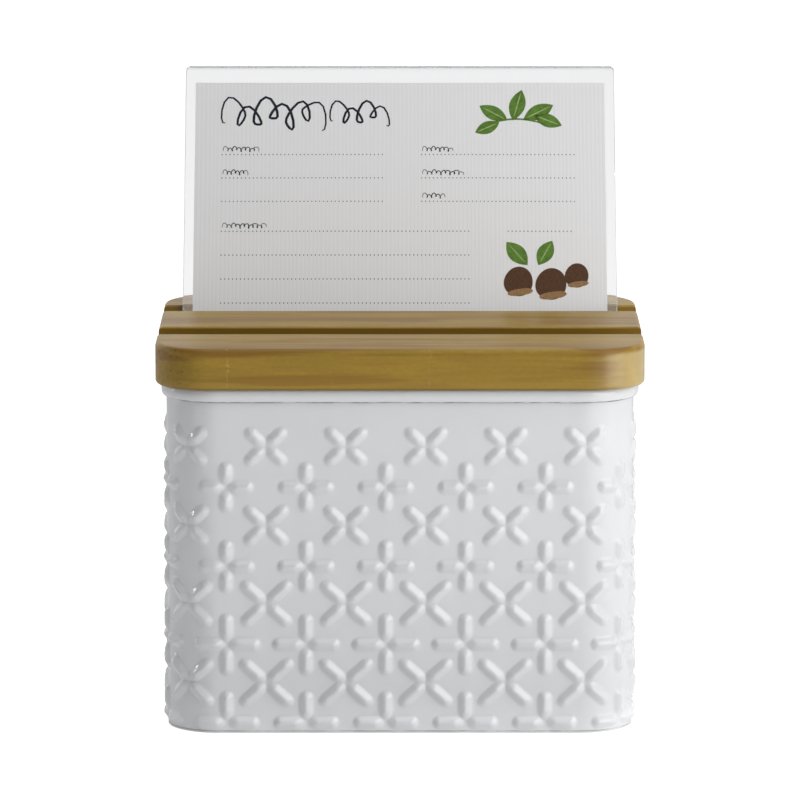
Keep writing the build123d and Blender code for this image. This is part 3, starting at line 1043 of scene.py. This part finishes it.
def make_floor(colour):
    """A wide pale floor that shows white to the camera and keeps the object's shadow."""
    deselect_all()
    bpy.ops.mesh.primitive_grid_add(x_subdivisions=FLOOR_CELLS, y_subdivisions=FLOOR_CELLS, size=FLOOR_SIZE,
                                    location=(0, 0, 0))
    floor = bpy.context.object
    floor.name = "floor"
    finish = Finish("pale_floor")
    rays = finish.add("LightPath").outputs
    glow = finish.times(rays["Is Camera Ray"], GLOW_SEEN)
    glow = finish.maths("MULTIPLY_ADD", rays["Is Transmission Ray"], GLOW_THROUGH, glow)
    glow = finish.maths("ADD", glow, GLOW_STEADY)
    finish.set(Base_Color=(*colour, 1), Roughness=0.9, Specular_IOR_Level=0.0)
    finish.set(Emission_Color=(1, 1, 1, 1), Emission_Strength=glow)
    floor.data.materials.append(finish.material)


def light_world():
    """White behind the object; a room that is dim in front on the left lights it."""
    world = bpy.data.worlds.new("soft_room")
    bpy.context.scene.world = world
    world.use_nodes = True
    nodes = Nodes(world.node_tree)
    place = nodes.add("TexCoord").outputs["Generated"]
    compass = nodes.add("TexGradient", {0: place}, gradient_type="RADIAL").outputs["Fac"]
    room = nodes.ramp(compass, *((turn, (light, light, light * ROOM_BLUE)) for turn, light in ROOM))
    rays = nodes.add("LightPath").outputs
    seen = nodes.maths("MAXIMUM", rays["Is Camera Ray"], rays["Is Transmission Ray"])
    background = nodes.tree.nodes["Background"]
    nodes.put(background.inputs["Color"], nodes.blend(seen, room, (1, 1, 1)))
    nodes.put(background.inputs["Strength"], 1.0)


def add_lamp(name, place, target, size, power):
    """A soft square lamp that faces a point."""
    lamp = bpy.data.lights.new(name, "AREA")
    lamp.shape = "RECTANGLE"
    lamp.size, lamp.size_y = size
    lamp.energy = power
    holder = bpy.data.objects.new(name, lamp)
    bpy.context.scene.collection.objects.link(holder)
    holder.location = place
    holder.rotation_euler = (Vector(target) - Vector(place)).to_track_quat("-Z", "Y").to_euler()


def add_camera(stage):
    """The camera at the photograph's viewing angle."""
    camera = bpy.data.cameras.new("camera")
    camera.lens = stage.focal_length
    camera.sensor_width = SENSOR_WIDTH
    camera.clip_end = SIGHT
    holder = bpy.data.objects.new("camera", camera)
    bpy.context.scene.collection.objects.link(holder)
    front = tin_centre_y + (wall_low.y - wall_high.y) / 2
    holder.location = (0, front - stage.distance * cos(stage.pitch),
                       stage.aim_height + stage.distance * sin(stage.pitch))
    holder.rotation_euler = (pi / 2 - stage.pitch, 0, 0)
    bpy.context.scene.camera = holder


class CARDTIN_OT_stage(bpy.types.Operator):
    """Set the floor, the light and the camera"""

    bl_idname = "card_tin.stage"
    bl_label = "Stage"

    def execute(self, context):
        stage = context.scene.card_tin_stage
        make_floor(colour_of(stage.floor_colour))
        light_world()
        for lamp in LAMPS:
            add_lamp(*lamp)
        add_camera(stage)
        context.scene.view_settings.view_transform = "Standard"
        return {"FINISHED"}


class CARDTIN_PT_panel(bpy.types.Panel):
    """Sidebar panel with the card tin's steps"""

    bl_label = "Card tin"
    bl_idname = "CARDTIN_PT_panel"
    bl_space_type = "VIEW_3D"
    bl_region_type = "UI"
    bl_category = "Card tin"

    def draw(self, context):
        for step in STEPS:
            self.layout.operator(step.bl_idname)


STEPS = (CARDTIN_OT_wall, CARDTIN_OT_base, CARDTIN_OT_lid, CARDTIN_OT_pane, CARDTIN_OT_card,
         CARDTIN_OT_contents, CARDTIN_OT_stage)
SETTINGS = {"card_tin_wall": WallSettings, "card_tin_lid": LidSettings, "card_tin_card": CardSettings,
            "card_tin_stage": StageSettings}


def register():
    """Add the settings, operators and panel."""
    for name, group in SETTINGS.items():
        bpy.utils.register_class(group)
        setattr(bpy.types.Scene, name, PointerProperty(type=group))
    for step in (*STEPS, CARDTIN_PT_panel):
        bpy.utils.register_class(step)


def unregister():
    """Take the settings, operators and panel away."""
    for step in (CARDTIN_PT_panel, *reversed(STEPS)):
        bpy.utils.unregister_class(step)
    for name, group in SETTINGS.items():
        delattr(bpy.types.Scene, name)
        bpy.utils.unregister_class(group)


def main():
    """Make every piece."""
    register()
    bpy.ops.card_tin.wall()
    bpy.ops.card_tin.base()
    bpy.ops.card_tin.lid()
    bpy.ops.card_tin.pane()
    bpy.ops.card_tin.card()
    bpy.ops.card_tin.contents()
    bpy.ops.card_tin.stage()
    deselect_all()


if __name__ == "__main__":
    main()
